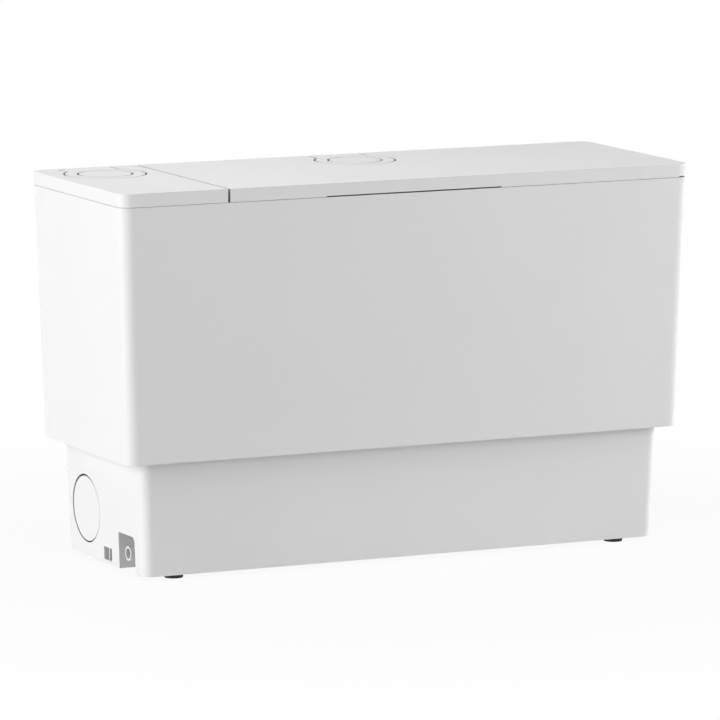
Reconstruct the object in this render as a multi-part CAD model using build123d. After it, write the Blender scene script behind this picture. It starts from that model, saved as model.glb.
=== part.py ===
from build123d import *
from math import cos, radians, sin, sqrt, tan
import os

# Sewage lifting unit. X runs along the casing, -Y is the front, +Y the wall side, +Z is up.
# The origin is at the middle of the footprint, on the floor. All sizes are in millimetres.

# Casing
overall_length = 500.0
overall_depth = 183.0
upper_height = 214.2
lower_height = 91.2
foot_height = 3.3
lid_height = 10.7
seam_gap = 0.3
upper_end_draft = 1.8
upper_face_draft = 1.1
lower_draft = 1.9
upper_corner = 10.0
lower_corner = 8.5
front_step = 7.8
end_step = 14.7
rear_step = 8.7
wall = 3.5
base_z = foot_height
step_z = base_z + lower_height
overall_height = step_z + upper_height
rim_z = overall_height - lid_height - seam_gap

# Clearances
rest_gap = 0.3
press_gap = 0.05
running_gap = 0.04
shaft_clearance = 1.2

# Lids
lid_plate = 3.0
lip_gap = 0.5
lip_thickness = 2.0
lip_depth = 7.0
small_lid_length = 92.2
lid_split_gap = 1.9
finger_slot_x = 3.0
finger_slot_length = 153.6
finger_slot_height = 0.75
finger_slot_depth = 3.8
end_slot_reach = 9.6
lid_rim = wall + lip_gap + lip_thickness
lid_split_x = small_lid_length - overall_length / 2

# Keyhole inserts and their knock-out discs
disc_radius = 21.0
disc_thickness = 3.0
disc_gap = 1.8
disc_seat_width = 0.8
insert_thickness = 4.5
insert_seat_width = 3.0
insert_seat_thickness = 2.5
keyhole_radius = 33.6
keyhole_neck = 47.0
keyhole_gap = 1.6
small_disc_end_inset = 45.5
small_disc_rear_inset = 46.0
main_disc_rear_inset = 43.5
disc_spacing = 221.2
small_disc_x = small_disc_end_inset - overall_length / 2
small_disc_y = overall_depth / 2 - small_disc_rear_inset
main_disc_x = small_disc_x + disc_spacing
main_disc_y = overall_depth / 2 - main_disc_rear_inset

# Service cover that closes the wet tank
cover_seat_drop = 59.0
cover_seat_width = 9.0
cover_seat_thickness = 5.0
gasket_thickness = 2.0
cover_thickness = 4.0
cover_edge_gap = 0.5
cover_rib_height = 5.0
cover_rib_width = 2.0
cover_rib_inset = 11.0
cover_screw_inset = 5.0
cover_screw_end_inset = 40.0
cover_screws_per_side = 4
screw_shank = 2.4
screw_hole = 2.45
screw_across_flats = 8.0
screw_head_height = 3.0
screw_length = 16.0
screw_boss = 5.0
screw_boss_height = 18.0
cover_screw_spacing = (overall_length - 2 * cover_screw_end_inset) / (cover_screws_per_side - 1)
cover_seat_z = overall_height - cover_seat_drop
cover_low = cover_seat_z + gasket_thickness
cover_top = cover_low + cover_thickness

# DN40 inlets: one in each end of the lower tank and one from above
side_inlet_y = 35.5
side_inlet_z = 42.0
inlet_hole_radius = 27.6
inlet_collar_wall = 3.0
inlet_collar_length = 22.0
inlet_seat_radius = 21.0
inlet_seat_thickness = 2.0
sleeve_bore = 20.0
sleeve_length = 14.0
cap_radius = 26.2
cap_thickness = 4.0
cap_offset = 1.0
cap_stub_wall = 2.0
cap_stub_length = 16.0

# Non-return flaps behind the side inlets
flap_thickness = 2.3
flap_radius = 23.0
flap_hinge_rise = 25.6
flap_barrel_radius = 3.0
flap_barrel_length = 30.0
flap_pin_radius = 1.5
flap_lug_width = 4.0

# DN100 inlet from the pan, at the rear
wc_inlet_end_inset = 100.0
wc_hole_radius = 60.2
wc_collar_wall = 3.5
wc_collar_length = 28.0
wc_sleeve_bore = 50.0
wc_sleeve_mouth = 53.0
wc_sleeve_mouth_depth = 8.0
wc_inlet_x = overall_length / 2 - wc_inlet_end_inset
wc_inlet_z = (step_z + cover_seat_z) / 2

# Fixing pockets and clip windows in the ends
pocket_front = -60.3
pocket_rear = -28.4
pocket_top = 32.7
pocket_depth = 23.0
pocket_corner = 5.0
pocket_wall = 3.0
fixing_boss_y = -43.9
fixing_boss_z = 17.5
fixing_boss_radius = 5.7
fixing_hole_radius = 4.35
fixing_boss_recess = 1.2
window_front = -13.8
window_rear = 1.9
window_low = 6.1
window_high = 16.5
window_depth = 8.0
window_bar_width = 1.0
window_bar_recess = 1.0

# Feet
foot_radius = 8.0
foot_taper = 0.6
foot_end_inset = 54.7
foot_front_inset = 26.0
foot_rear_inset = 30.8
foot_x = overall_length / 2 - foot_end_inset
foot_front_y = foot_front_inset - overall_depth / 2
foot_rear_y = overall_depth / 2 - foot_rear_inset

# Pump casing: four quarter arcs whose radius grows by the same step, to the width of the outlet
casing_wall = 3.5
volute_radius = 38.0
casing_low = 34.0
casing_inner_height = 34.5
casing_top_thickness = 4.0
outlet_bore = 12.0
outlet_wall = 3.0
outlet_reach = 48.0
outlet_riser_gap = 13.0
casing_ear_radius = 6.0
casing_ear_angles = (165.0, 225.0, 315.0, 45.0)
suction_plate_thickness = 4.0
suction_radius = 18.0
pump_screw_length = 14.0
volute_step = outlet_bore / 2
arc_centre = volute_step / 2
outlet_offset = arc_centre + volute_radius + 3 * volute_step - outlet_bore
pump_y = small_disc_y - outlet_offset
casing_top = casing_low + casing_inner_height + casing_top_thickness
outlet_z = casing_low + outlet_bore + outlet_wall
riser_shift = 58.5
riser_x = small_disc_x + riser_shift
pump_x = riser_x + outlet_riser_gap + outlet_reach

# Wheels on the shaft
impeller_radius = 32.0
impeller_disc_low = 58.0
impeller_disc_thickness = 4.0
impeller_hub_radius = 9.0
impeller_hub_low = 40.0
vane_count = 5
vane_thickness = 3.0
vane_drop = 18.0
vane_root_angle = 70.0
vane_middle_angle = 50.0
cutter_ring_bore = 13.0
cutter_ring_slots = 6
cutter_slot_width = 4.0
cutter_slot_depth = 2.4
blade_length = 16.0
blade_width = 9.0
blade_thickness = 4.0
blade_bevel = 1.5
nut_across_flats = 13.0
nut_height = 6.0

# Shaft, from the cutter end upwards
shaft_low = 18.0
shaft_stub_radius = 4.0
shaft_stub_top = 40.0
shaft_seat_radius = 6.0
shaft_seat_top = 118.0
shaft_journal_radius = 7.5
shaft_journal_top = 130.0
shaft_core_radius = 9.0
shaft_top_radius = 6.0
shaft_top_journal = 12.0
shaft_top = cover_low
shaft_core_top = shaft_top - shaft_top_journal

# Seal housing between the pump casing and the motor
seal_flange_radius = 41.0
seal_flange_thickness = 4.0
seal_body_radius = 36.0
seal_body_wall = 4.0
seal_top_z = 116.0
shield_radius = 50.0
shield_thickness = 6.0
shield_spigot = 7.0
seal_ring_radius = 14.0
seal_ring_height = 12.0
lower_bearing_radius = 17.5
lower_bearing_height = 11.0
upper_bearing_radius = 16.0
upper_bearing_height = 10.0

# Motor
motor_radius = 50.0
motor_wall = 3.0
stator_low = 150.0
stator_height = 60.0
stator_bore = 26.0
air_gap = 0.6
winding_outer = 43.0
winding_inner = 28.0
winding_height = 13.0
motor_flange_side = 106.0
motor_flange_corner = 10.0
motor_flange_thickness = 4.0
cap_hub_radius = 20.0
cap_hub_depth = 15.0
terminal_side = 66.0
terminal_height = 22.0
terminal_corner = 8.0

# Discharge line
riser_wall = 2.0
riser_bore = 13.0
riser_bend = 10.0
riser_socket_length = 14.0
riser_top_length = 46.0
riser_shift_rise = 32.0
valve_half_side = 23.0
valve_corner = 6.0
valve_wall = 3.0
valve_height = 46.0
valve_port_radius = 11.0
valve_seat_thickness = 4.0
valve_spigot_length = 14.0
nozzle_radius = 16.0
nozzle_bore = 13.0
nozzle_height = 30.0
check_flap_thickness = 2.5
check_flap_radius = 16.0
check_hinge_offset = 16.5
check_pin_radius = 1.5
check_barrel_radius = 2.8
bonnet_thickness = 3.0
hose_wall = 4.0
hose_length = 34.0
hose_overhang = 10.0
clamp_width = 8.0
clamp_thickness = 1.2
valve_low = cover_low - valve_height
nozzle_top = cover_top + nozzle_height
hose_top = nozzle_top + hose_overhang
hose_low = hose_top - hose_length
riser_shift_high = valve_low - riser_top_length
riser_shift_low = riser_shift_high - riser_shift_rise

# Vent with carbon filter
filter_end_inset = 20.0
filter_front_inset = 19.5
filter_length = 54.0
filter_depth = 58.0
filter_height = 22.0
filter_wall = 2.0
filter_corner = 6.0
filter_cap_height = 5.0
vent_hole_radius = 10.0
vent_slot_width = 3.0
vent_slots = 5
filter_x_low = filter_end_inset - overall_length / 2
filter_x_high = filter_x_low + filter_length
filter_y_low = filter_front_inset - overall_depth / 2
filter_y_high = filter_y_low + filter_depth

# Control box on the cover
box_end_inset = 25.0
box_front_inset = 23.5
box_length = 150.0
box_depth = 72.0
box_height = 32.0
box_wall = 2.0
box_corner = 5.0
box_lid_thickness = 3.0
board_inset = 5.0
board_length = 94.0
board_depth = 30.0
board_rise = 6.0
board_thickness = 1.6
relay_count = 2
relay_pitch = 26.0
relay_side = 20.0
relay_depth = 16.0
relay_height = 16.0
relay_inset = 4.0
capacitor_radius = 13.5
capacitor_length = 60.0
capacitor_end_inset = 23.0
capacitor_rear_inset = 18.0
lead_radius = 4.0
lead_rise = 11.0
lead_front_inset = 48.0
terminal_block_length = 12.0
box_x_high = overall_length / 2 - box_end_inset
box_x_low = box_x_high - box_length
box_y_low = box_front_inset - overall_depth / 2
box_y_high = box_y_low + box_depth
board_x_high = box_x_high - board_inset
board_x_low = board_x_high - board_length
board_y_low = box_y_low + board_inset
board_y_high = board_y_low + board_depth
capacitor_x_high = box_x_high - capacitor_end_inset
capacitor_x_low = capacitor_x_high - capacitor_length
capacitor_y = box_y_high - capacitor_rear_inset
lead_y = box_y_low + lead_front_inset
lead_z = cover_top + lead_rise

# Level sensing
dome_box_gap = 35.0
dome_front_inset = 46.5
dome_radius = 20.0
dome_wall = 2.5
dome_low = 22.0
dome_hole_radius = 7.0
nipple_radius = 2.5
nipple_rise = 8.0
nipple_reach = 15.0
pressure_hose_wall = 1.6
switch_inset = 25.0
switch_radius = 16.0
switch_height = 14.0
dome_x = box_x_low - dome_box_gap
dome_y = dome_front_inset - overall_depth / 2
nipple_z = cover_top + nipple_rise
switch_x = box_x_low + switch_inset

# Cable entry in the rear wall
grommet_end_inset = 35.0
grommet_rise = 20.0
grommet_hole_radius = 8.0
grommet_bore = 4.0
grommet_flange_radius = 11.0
grommet_flange = 2.5
grommet_proud = 0.6
grommet_x = overall_length / 2 - grommet_end_inset
grommet_z = cover_top + grommet_rise

from_base = (Align.CENTER, Align.CENTER, Align.MIN)
wedge_from_top = (Align.CENTER, Align.MIN, Align.CENTER)


def upper_half_length(z):
    return overall_length / 2 - (overall_height - z) * tan(radians(upper_end_draft))


def upper_half_depth(z):
    return overall_depth / 2 - (overall_height - z) * tan(radians(upper_face_draft))


def lower_lean(z):
    return (step_z - z) * tan(radians(lower_draft))


def lower_half_length(z):
    return upper_half_length(step_z) - end_step - lower_lean(z)


def lower_front(z):
    return lower_lean(z) + front_step - upper_half_depth(step_z)


def lower_rear(z):
    return upper_half_depth(step_z) - rear_step - lower_lean(z)


# Basic forms, placed by their limits

def block(x_low, x_high, y_low, y_high, z_low, z_high):
    centre = Pos((x_low + x_high) / 2, (y_low + y_high) / 2, z_low)
    return centre * Box(x_high - x_low, y_high - y_low, z_high - z_low, align=from_base)


def rounded_block(x_low, x_high, y_low, y_high, z_low, z_high, corner):
    outline = RectangleRounded(x_high - x_low, y_high - y_low, corner)
    centre = Pos((x_low + x_high) / 2, (y_low + y_high) / 2, z_low)
    return extrude(centre * outline, z_high - z_low)


def upright(radius, z_low, z_high, x=0.0, y=0.0):
    return Pos(x, y, z_low) * Cylinder(radius, z_high - z_low, align=from_base)


def along_x(radius, x_low, x_high, y, z):
    return Pos(x_low, y, z) * Rot(0, 90, 0) * Cylinder(radius, x_high - x_low, align=from_base)


def along_y(radius, y_low, y_high, x, z):
    return Pos(x, y_low, z) * Rot(-90, 0, 0) * Cylinder(radius, y_high - y_low, align=from_base)


def leaning_block(x_low, x_high, y_low, y_high, z_low, z_high, end_draft, face_draft, corner):
    # The limits are those of the bottom face; the four sides lean outwards as they rise.
    height = z_high - z_low
    end_lean = height * tan(radians(end_draft))
    face_lean = height * tan(radians(face_draft))
    length = x_high - x_low + 2 * end_lean
    depth = y_high - y_low + 2 * face_lean
    wedge = Wedge(
        length, height, depth, end_lean, face_lean, length - end_lean, depth - face_lean,
        align=wedge_from_top,
    )
    solid = Pos((x_low + x_high) / 2, (y_low + y_high) / 2, z_high) * Rot(-90, 0, 0) * wedge
    corners = solid.edges().filter_by(lambda edge: abs(edge.tangent_at(0.5).Z) > 0.5)
    return fillet(corners, corner)


def upper_block(z_low, z_high, inset, corner):
    half_length = upper_half_length(z_low) - inset
    half_depth = upper_half_depth(z_low) - inset
    return leaning_block(
        -half_length, half_length, -half_depth, half_depth, z_low, z_high,
        upper_end_draft, upper_face_draft, corner,
    )


def lower_block(z_low, z_high, inset, corner):
    half_length = lower_half_length(z_low) - inset
    front = lower_front(z_low) + inset
    rear = lower_rear(z_low) - inset
    return leaning_block(
        -half_length, half_length, front, rear, z_low, z_high, lower_draft, lower_draft, corner
    )


def on_both_ends(left_shape):
    return left_shape + mirror(left_shape, about=Plane.YZ)


def save(shape, node):
    export_step(shape, f"parts/{node}.step")


# Tank

def casing_outside():
    return upper_block(step_z, rim_z, 0, upper_corner) + lower_block(base_z, step_z, 0, lower_corner)


def cover_screw_places():
    half_length = upper_half_length(cover_seat_z) - wall - cover_screw_inset
    half_depth = upper_half_depth(cover_seat_z) - wall - cover_screw_inset
    first = -cover_screw_spacing * (cover_screws_per_side - 1) / 2
    along = [first + cover_screw_spacing * step for step in range(cover_screws_per_side)]
    places = [(x, side * half_depth) for side in (-1, 1) for x in along]
    return places + [(-half_length, 0.0), (half_length, 0.0)]


def cover_seat():
    ring = upper_block(cover_seat_z - cover_seat_thickness, cover_seat_z, wall / 2, upper_corner - wall / 2)
    half_length = upper_half_length(cover_seat_z) - wall - cover_seat_width
    half_depth = upper_half_depth(cover_seat_z) - wall - cover_seat_width
    opening = rounded_block(
        -half_length, half_length, -half_depth, half_depth,
        cover_seat_z - cover_seat_thickness, cover_seat_z, upper_corner - wall / 2,
    )
    bosses = [
        upright(screw_boss, cover_seat_z - screw_boss_height, cover_seat_z, x, y)
        for x, y in cover_screw_places()
    ]
    return ring - opening + bosses


def left_inlet_collar():
    inner_end = inlet_collar_length - lower_half_length(side_inlet_z)
    outer = along_x(
        inlet_hole_radius + inlet_collar_wall, -overall_length / 2, inner_end, side_inlet_y, side_inlet_z
    )
    lugs = []
    hinge_z = side_inlet_z + flap_hinge_rise
    reach = flap_barrel_length / 2 + rest_gap
    for side in (-1, 1):
        near = side_inlet_y + side * reach
        far = near + side * flap_lug_width
        lugs.append(block(
            inner_end - wall, flap_hinge_x() + flap_barrel_radius, min(near, far), max(near, far),
            hinge_z - flap_barrel_radius, hinge_z + flap_barrel_radius,
        ))
    pin_hole = along_y(
        flap_pin_radius + running_gap, side_inlet_y - reach - flap_lug_width,
        side_inlet_y + reach + flap_lug_width, flap_hinge_x(), hinge_z,
    )
    return outer + lugs - pin_hole


def left_inlet_cut():
    inner_end = inlet_collar_length - lower_half_length(side_inlet_z)
    seat_face = inner_end - inlet_seat_thickness
    cut = along_x(inlet_hole_radius, -overall_length / 2, seat_face, side_inlet_y, side_inlet_z)
    return cut + along_x(inlet_seat_radius, seat_face, inner_end, side_inlet_y, side_inlet_z)


def pocket_back_x():
    return pocket_depth - lower_half_length(base_z)


def left_pocket_housing():
    housing = block(
        -overall_length / 2, pocket_back_x() + pocket_wall, pocket_front - pocket_wall,
        pocket_rear + pocket_wall, base_z, pocket_top + pocket_wall,
    )
    window_back = window_depth - lower_half_length(base_z)
    return housing + block(
        -overall_length / 2, window_back + pocket_wall, window_front - pocket_wall,
        window_rear + pocket_wall, base_z, window_high + pocket_wall,
    )


def left_pocket_cut():
    cut = block(
        -overall_length / 2, pocket_back_x(), pocket_front, pocket_rear, base_z - wall, pocket_top
    )
    top_front_edge = cut.edges().filter_by(Axis.X).group_by(Axis.Z)[-1].sort_by(Axis.Y)[0]
    cut = fillet(top_front_edge, pocket_corner)
    boss_end = fixing_boss_recess - lower_half_length(fixing_boss_z)
    boss = along_x(fixing_boss_radius, boss_end, pocket_back_x(), fixing_boss_y, fixing_boss_z)
    hole = along_x(fixing_hole_radius, boss_end, pocket_back_x(), fixing_boss_y, fixing_boss_z)
    return cut - boss + hole


def left_window_cut():
    back = window_depth - lower_half_length(base_z)
    cut = block(-overall_length / 2, back, window_front, window_rear, window_low, window_high)
    middle = (window_front + window_rear) / 2
    bar = block(
        window_bar_recess - lower_half_length(window_low), back, middle - window_bar_width / 2,
        middle + window_bar_width / 2, window_low, window_high,
    )
    return cut - bar


def tank():
    outside = casing_outside()
    room = upper_block(step_z + wall, rim_z, wall, upper_corner - wall)
    room += lower_block(base_z + wall, step_z + wall, wall, lower_corner - wall)
    wc_y_low = upper_half_depth(wc_inlet_z) - wc_collar_length
    wc_collar = along_y(wc_hole_radius + wc_collar_wall, wc_y_low, overall_depth / 2, wc_inlet_x, wc_inlet_z)
    fittings = cover_seat() + wc_collar + on_both_ends(left_inlet_collar() + left_pocket_housing())
    shell = outside - room + (fittings & outside)
    shell -= along_y(wc_hole_radius, wc_y_low, overall_depth, wc_inlet_x, wc_inlet_z)
    shell -= on_both_ends(left_inlet_cut() + left_pocket_cut() + left_window_cut())
    for x, y in cover_screw_places():
        shell -= upright(screw_hole, cover_seat_z - screw_boss_height + wall, cover_seat_z, x, y)
    shell -= along_y(grommet_hole_radius, 0, overall_depth, grommet_x, grommet_z)
    return shell


def rubber_feet():
    foot = Cone(foot_radius - foot_taper, foot_radius, foot_height, align=from_base)
    places = [(x, y) for x in (-foot_x, foot_x) for y in (foot_front_y, foot_rear_y)]
    return Compound([Pos(x, y, 0) * foot for x, y in places])


# Lids

def lid(x_low, x_high, disc_x, disc_y):
    low = rim_z + seam_gap
    span = block(x_low, x_high, -overall_depth, overall_depth, 0, overall_height)
    left_wall = lid_plate if x_low > -overall_length / 2 else 0
    right_wall = lid_plate if x_high < overall_length / 2 else 0
    inner_span = block(
        x_low + left_wall, x_high - right_wall, -overall_depth, overall_depth, 0, overall_height
    )
    outside = upper_block(low, overall_height, 0, upper_corner) & span
    inner_corner = upper_corner - lid_rim
    hollow = upper_block(low, overall_height - lid_plate, lid_rim, inner_corner) & inner_span
    lip = upper_block(rim_z - lip_depth, low + lid_plate, wall + lip_gap, upper_corner - wall - lip_gap)
    lip -= upper_block(rim_z - lip_depth, low + lid_plate, lid_rim, inner_corner)
    seat = keyhole(disc_x, disc_y, -insert_seat_width, insert_seat_low(), insert_low())
    cover = outside - hollow + (lip & inner_span) + (seat & outside)
    cover -= keyhole(disc_x, disc_y, 0, insert_low(), overall_height + lid_plate)
    cover -= keyhole(disc_x, disc_y, insert_seat_width, rim_z - lip_depth, insert_low())
    rear_low = upper_half_depth(rim_z) - lid_rim - lip_gap
    neck_half = keyhole_neck / 2
    return cover - block(
        disc_x - neck_half, disc_x + neck_half, rear_low, overall_depth, rim_z - lip_depth, overall_height
    )


def insert_low():
    return overall_height - insert_thickness


def insert_seat_low():
    return insert_low() - insert_seat_thickness


def keyhole(disc_x, disc_y, inset, z_low, z_high):
    head = upright(keyhole_radius - inset, z_low, z_high, disc_x, disc_y)
    half_neck = keyhole_neck / 2 - inset
    return head + block(disc_x - half_neck, disc_x + half_neck, disc_y, overall_depth, z_low, z_high)


def edge_slot(x_low, x_high, y_high):
    # A shallow slot under the lid's edge, which follows the rounded corners.
    low = rim_z + seam_gap
    high = low + finger_slot_height
    ring = upper_block(low, high, 0, upper_corner)
    ring -= upper_block(low, high, finger_slot_depth, upper_corner - finger_slot_depth)
    return ring & block(x_low, x_high, -overall_depth, y_high, low, high)


def main_lid():
    cover = lid(lid_split_x + lid_split_gap / 2, overall_length, main_disc_x, main_disc_y)
    half_slot = finger_slot_length / 2
    cover -= edge_slot(finger_slot_x - half_slot, finger_slot_x + half_slot, 0)
    return cover - edge_slot(overall_length / 2 - end_slot_reach, overall_length, overall_depth)


def small_lid():
    return lid(-overall_length, lid_split_x - lid_split_gap / 2, small_disc_x, small_disc_y)


def keyhole_insert(disc_x, disc_y):
    plate = keyhole(disc_x, disc_y, keyhole_gap, insert_low(), overall_height)
    low = rim_z + seam_gap
    half_neck = keyhole_neck / 2 - keyhole_gap
    rear = upper_half_depth(low)
    skirt = block(disc_x - half_neck, disc_x + half_neck, rear - lid_rim, overall_depth, low, insert_low())
    plate = (plate + skirt) & upper_block(low, overall_height, 0, upper_corner)
    disc_low = overall_height - disc_thickness
    plate -= upright(disc_radius + disc_gap, disc_low, overall_height, disc_x, disc_y)
    return plate - upright(disc_radius - disc_seat_width, insert_low(), overall_height, disc_x, disc_y)


def knockout_disc(disc_x, disc_y):
    return upright(disc_radius, overall_height - disc_thickness, overall_height, disc_x, disc_y)


# Service cover

def service_cover():
    half_length = upper_half_length(cover_low) - wall - cover_edge_gap
    half_depth = upper_half_depth(cover_low) - wall - cover_edge_gap
    corner = upper_corner - wall - cover_edge_gap
    plate = rounded_block(-half_length, half_length, -half_depth, half_depth, cover_low, cover_top, corner)
    rib_length = half_length - cover_rib_inset
    rib_depth = half_depth - cover_rib_inset
    rib = rounded_block(
        -rib_length, rib_length, -rib_depth, rib_depth, cover_top, cover_top + cover_rib_height, corner
    )
    rib -= rounded_block(
        cover_rib_width - rib_length, rib_length - cover_rib_width, cover_rib_width - rib_depth,
        rib_depth - cover_rib_width, cover_top, cover_top + cover_rib_height, corner - cover_rib_width,
    )
    spigot_top = cover_top + sleeve_length + inlet_seat_thickness
    spigot = upright(inlet_hole_radius + inlet_collar_wall, cover_top, spigot_top, main_disc_x, main_disc_y)
    plate = plate + rib + spigot
    plate -= upright(inlet_hole_radius, cover_top, spigot_top, main_disc_x, main_disc_y)
    plate -= upright(inlet_seat_radius, cover_low, cover_top, main_disc_x, main_disc_y)
    plate -= upright(motor_radius + press_gap, cover_low, cover_top, pump_x, pump_y)
    plate -= upright(nozzle_radius + rest_gap, cover_low, cover_top, small_disc_x, small_disc_y)
    plate -= upright(vent_hole_radius, cover_low, cover_top, *filter_centre())
    plate -= upright(dome_hole_radius + press_gap, cover_low, cover_top, dome_x, dome_y)
    for x, y in cover_screw_places():
        plate -= upright(screw_hole + rest_gap, cover_low, cover_top, x, y)
    return plate


def cover_gasket():
    half_length = upper_half_length(cover_seat_z) - wall - cover_edge_gap
    half_depth = upper_half_depth(cover_seat_z) - wall - cover_edge_gap
    corner = upper_corner - wall - cover_edge_gap
    ring = rounded_block(-half_length, half_length, -half_depth, half_depth, cover_seat_z, cover_low, corner)
    inner_length = half_length - cover_seat_width
    inner_depth = half_depth - cover_seat_width
    ring -= rounded_block(
        -inner_length, inner_length, -inner_depth, inner_depth, cover_seat_z, cover_low, corner
    )
    for x, y in cover_screw_places():
        ring -= upright(screw_hole + rest_gap, cover_seat_z, cover_low, x, y)
    return ring


def hexagon_head(across_flats, z_low, z_high, x, y):
    outline = Pos(x, y, z_low) * RegularPolygon(across_flats / 2, 6, major_radius=False)
    return extrude(outline, z_high - z_low)


def cover_screws():
    screws = []
    for x, y in cover_screw_places():
        head = hexagon_head(screw_across_flats, cover_top, cover_top + screw_head_height, x, y)
        screws.append(head + upright(screw_shank, cover_top - screw_length, cover_top, x, y))
    return Compound(screws)


# Inlets

def left_sleeve():
    seat_face = inlet_collar_length - inlet_seat_thickness - lower_half_length(side_inlet_z)
    radius = inlet_hole_radius - press_gap
    sleeve = along_x(radius, seat_face - sleeve_length, seat_face, side_inlet_y, side_inlet_z)
    return sleeve - along_x(sleeve_bore, seat_face - sleeve_length, seat_face, side_inlet_y, side_inlet_z)


def dn40_sleeves():
    left = left_sleeve()
    high = cover_top + sleeve_length
    top = upright(inlet_hole_radius - press_gap, cover_top, high, main_disc_x, main_disc_y)
    top -= upright(sleeve_bore, cover_top, high, main_disc_x, main_disc_y)
    return Compound([left, mirror(left, about=Plane.YZ), top])


def left_inlet_cap():
    # The disc sits a little forward of its stub, so the slot round it is widest at the rear.
    face_back = cap_thickness - lower_half_length(side_inlet_z)
    disc = along_x(cap_radius, -overall_length / 2, face_back, side_inlet_y - cap_offset, side_inlet_z)
    disc = disc & lower_block(base_z, step_z, 0, lower_corner)
    stub_radius = sleeve_bore - press_gap
    stub_end = face_back + cap_stub_length
    stub = along_x(stub_radius, face_back, stub_end, side_inlet_y, side_inlet_z)
    return disc + stub - along_x(stub_radius - cap_stub_wall, face_back, stub_end, side_inlet_y, side_inlet_z)


def flap_hinge_x():
    return inlet_collar_length - lower_half_length(side_inlet_z) + rest_gap + flap_barrel_radius


def left_inlet_flap():
    face = flap_hinge_x() - flap_barrel_radius
    hinge_z = side_inlet_z + flap_hinge_rise
    y_low = side_inlet_y - flap_barrel_length / 2
    y_high = side_inlet_y + flap_barrel_length / 2
    flap = along_x(flap_radius, face, face + flap_thickness, side_inlet_y, side_inlet_z)
    flap += block(face, face + flap_thickness, y_low, y_high, side_inlet_z, hinge_z)
    flap += along_y(flap_barrel_radius, y_low, y_high, flap_hinge_x(), hinge_z)
    return flap - along_y(flap_pin_radius + running_gap, y_low, y_high, flap_hinge_x(), hinge_z)


def flap_pins():
    reach = flap_barrel_length / 2 + rest_gap + flap_lug_width
    pin = along_y(
        flap_pin_radius, side_inlet_y - reach, side_inlet_y + reach, flap_hinge_x(),
        side_inlet_z + flap_hinge_rise,
    )
    return Compound([pin, mirror(pin, about=Plane.YZ)])


def wc_inlet_sleeve():
    y_low = upper_half_depth(wc_inlet_z) - wc_collar_length
    sleeve = along_y(wc_hole_radius - press_gap, y_low, overall_depth / 2, wc_inlet_x, wc_inlet_z)
    sleeve = sleeve & upper_block(step_z, rim_z, 0, upper_corner)
    sleeve -= along_y(wc_sleeve_bore, y_low, overall_depth / 2, wc_inlet_x, wc_inlet_z)
    mouth_z = upper_half_depth(wc_inlet_z) - wc_sleeve_mouth_depth
    return sleeve - along_y(wc_sleeve_mouth, mouth_z, overall_depth / 2, wc_inlet_x, wc_inlet_z)


# Pump

def volute_outline(extra):
    # Quarter arcs about the corners of a small square; each is one step larger than the last.
    near = arc_centre
    first = volute_radius + extra
    start = (-near, first - near)
    left = (-near - first, -near)
    second = first + volute_step
    bottom = (near, -near - second)
    third = second + volute_step
    right = (near + third, near)
    fourth = third + volute_step
    finish = (-near, near + fourth)
    diagonal = 1 / sqrt(2)
    arcs = [
        ThreePointArc(start, (-near - first * diagonal, -near + first * diagonal), left),
        ThreePointArc(left, (near - second * diagonal, -near - second * diagonal), bottom),
        ThreePointArc(bottom, (near + third * diagonal, near - third * diagonal), right),
        ThreePointArc(right, (-near + fourth * diagonal, near + fourth * diagonal), finish),
        Line(finish, start),
    ]
    return make_face(Curve() + arcs)


def pump_screw_places():
    # Each ear stands off its own quarter arc.
    near = arc_centre
    centres = [(-near, -near), (near, -near), (near, near), (-near, near)]
    places = []
    for step, ((centre_x, centre_y), angle) in enumerate(zip(centres, casing_ear_angles)):
        reach = volute_radius + step * volute_step + casing_wall + casing_ear_radius / 2
        places.append((centre_x + reach * cos(radians(angle)), centre_y + reach * sin(radians(angle))))
    return places


def at_pump(shape, z):
    return Pos(pump_x, pump_y, z) * shape


def pump_plan(thickness):
    plan = extrude(volute_outline(casing_wall), thickness)
    for x, y in pump_screw_places():
        plan += upright(casing_ear_radius, 0, thickness, x, y)
    return plan


def pump_casing():
    height = casing_inner_height + casing_top_thickness
    outlet_height = outlet_z - casing_low
    outer = extrude(volute_outline(casing_wall), height)
    for x, y in pump_screw_places():
        outer += upright(casing_ear_radius, 0, pump_screw_length, x, y)
    outer += along_x(outlet_bore + outlet_wall, -outlet_reach, 0, outlet_offset, outlet_height)
    outer -= extrude(volute_outline(0), casing_inner_height)
    outer -= along_x(outlet_bore, -outlet_reach, 0, outlet_offset, outlet_height)
    outer -= upright(shaft_seat_radius + shaft_clearance, 0, height)
    for x, y in pump_screw_places():
        outer -= upright(screw_hole, 0, pump_screw_length - casing_wall, x, y)
    return at_pump(outer, casing_low)


def suction_plate():
    plate = pump_plan(suction_plate_thickness) - upright(suction_radius, 0, suction_plate_thickness)
    for x, y in pump_screw_places():
        plate -= upright(screw_hole + rest_gap, 0, suction_plate_thickness, x, y)
    return at_pump(plate, casing_low - suction_plate_thickness)


def pump_screws():
    head_top = casing_low - suction_plate_thickness
    screws = []
    for x, y in pump_screw_places():
        head = hexagon_head(screw_across_flats, head_top - screw_head_height, head_top, x, y)
        shank_top = head_top + suction_plate_thickness + pump_screw_length - 2 * casing_wall
        screws.append(at_pump(head + upright(screw_shank, head_top, shank_top, x, y), 0))
    return Compound(screws)


def cutter_ring():
    low = casing_low - suction_plate_thickness
    ring = upright(suction_radius - press_gap, low, casing_low)
    ring -= upright(cutter_ring_bore, low, casing_low)
    half_slot = cutter_slot_width / 2
    slot = block(0, cutter_ring_bore + cutter_slot_depth, -half_slot, half_slot, low, casing_low)
    for step in range(cutter_ring_slots):
        ring -= Rot(0, 0, step * 360 / cutter_ring_slots) * slot
    return at_pump(ring, 0)


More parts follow.
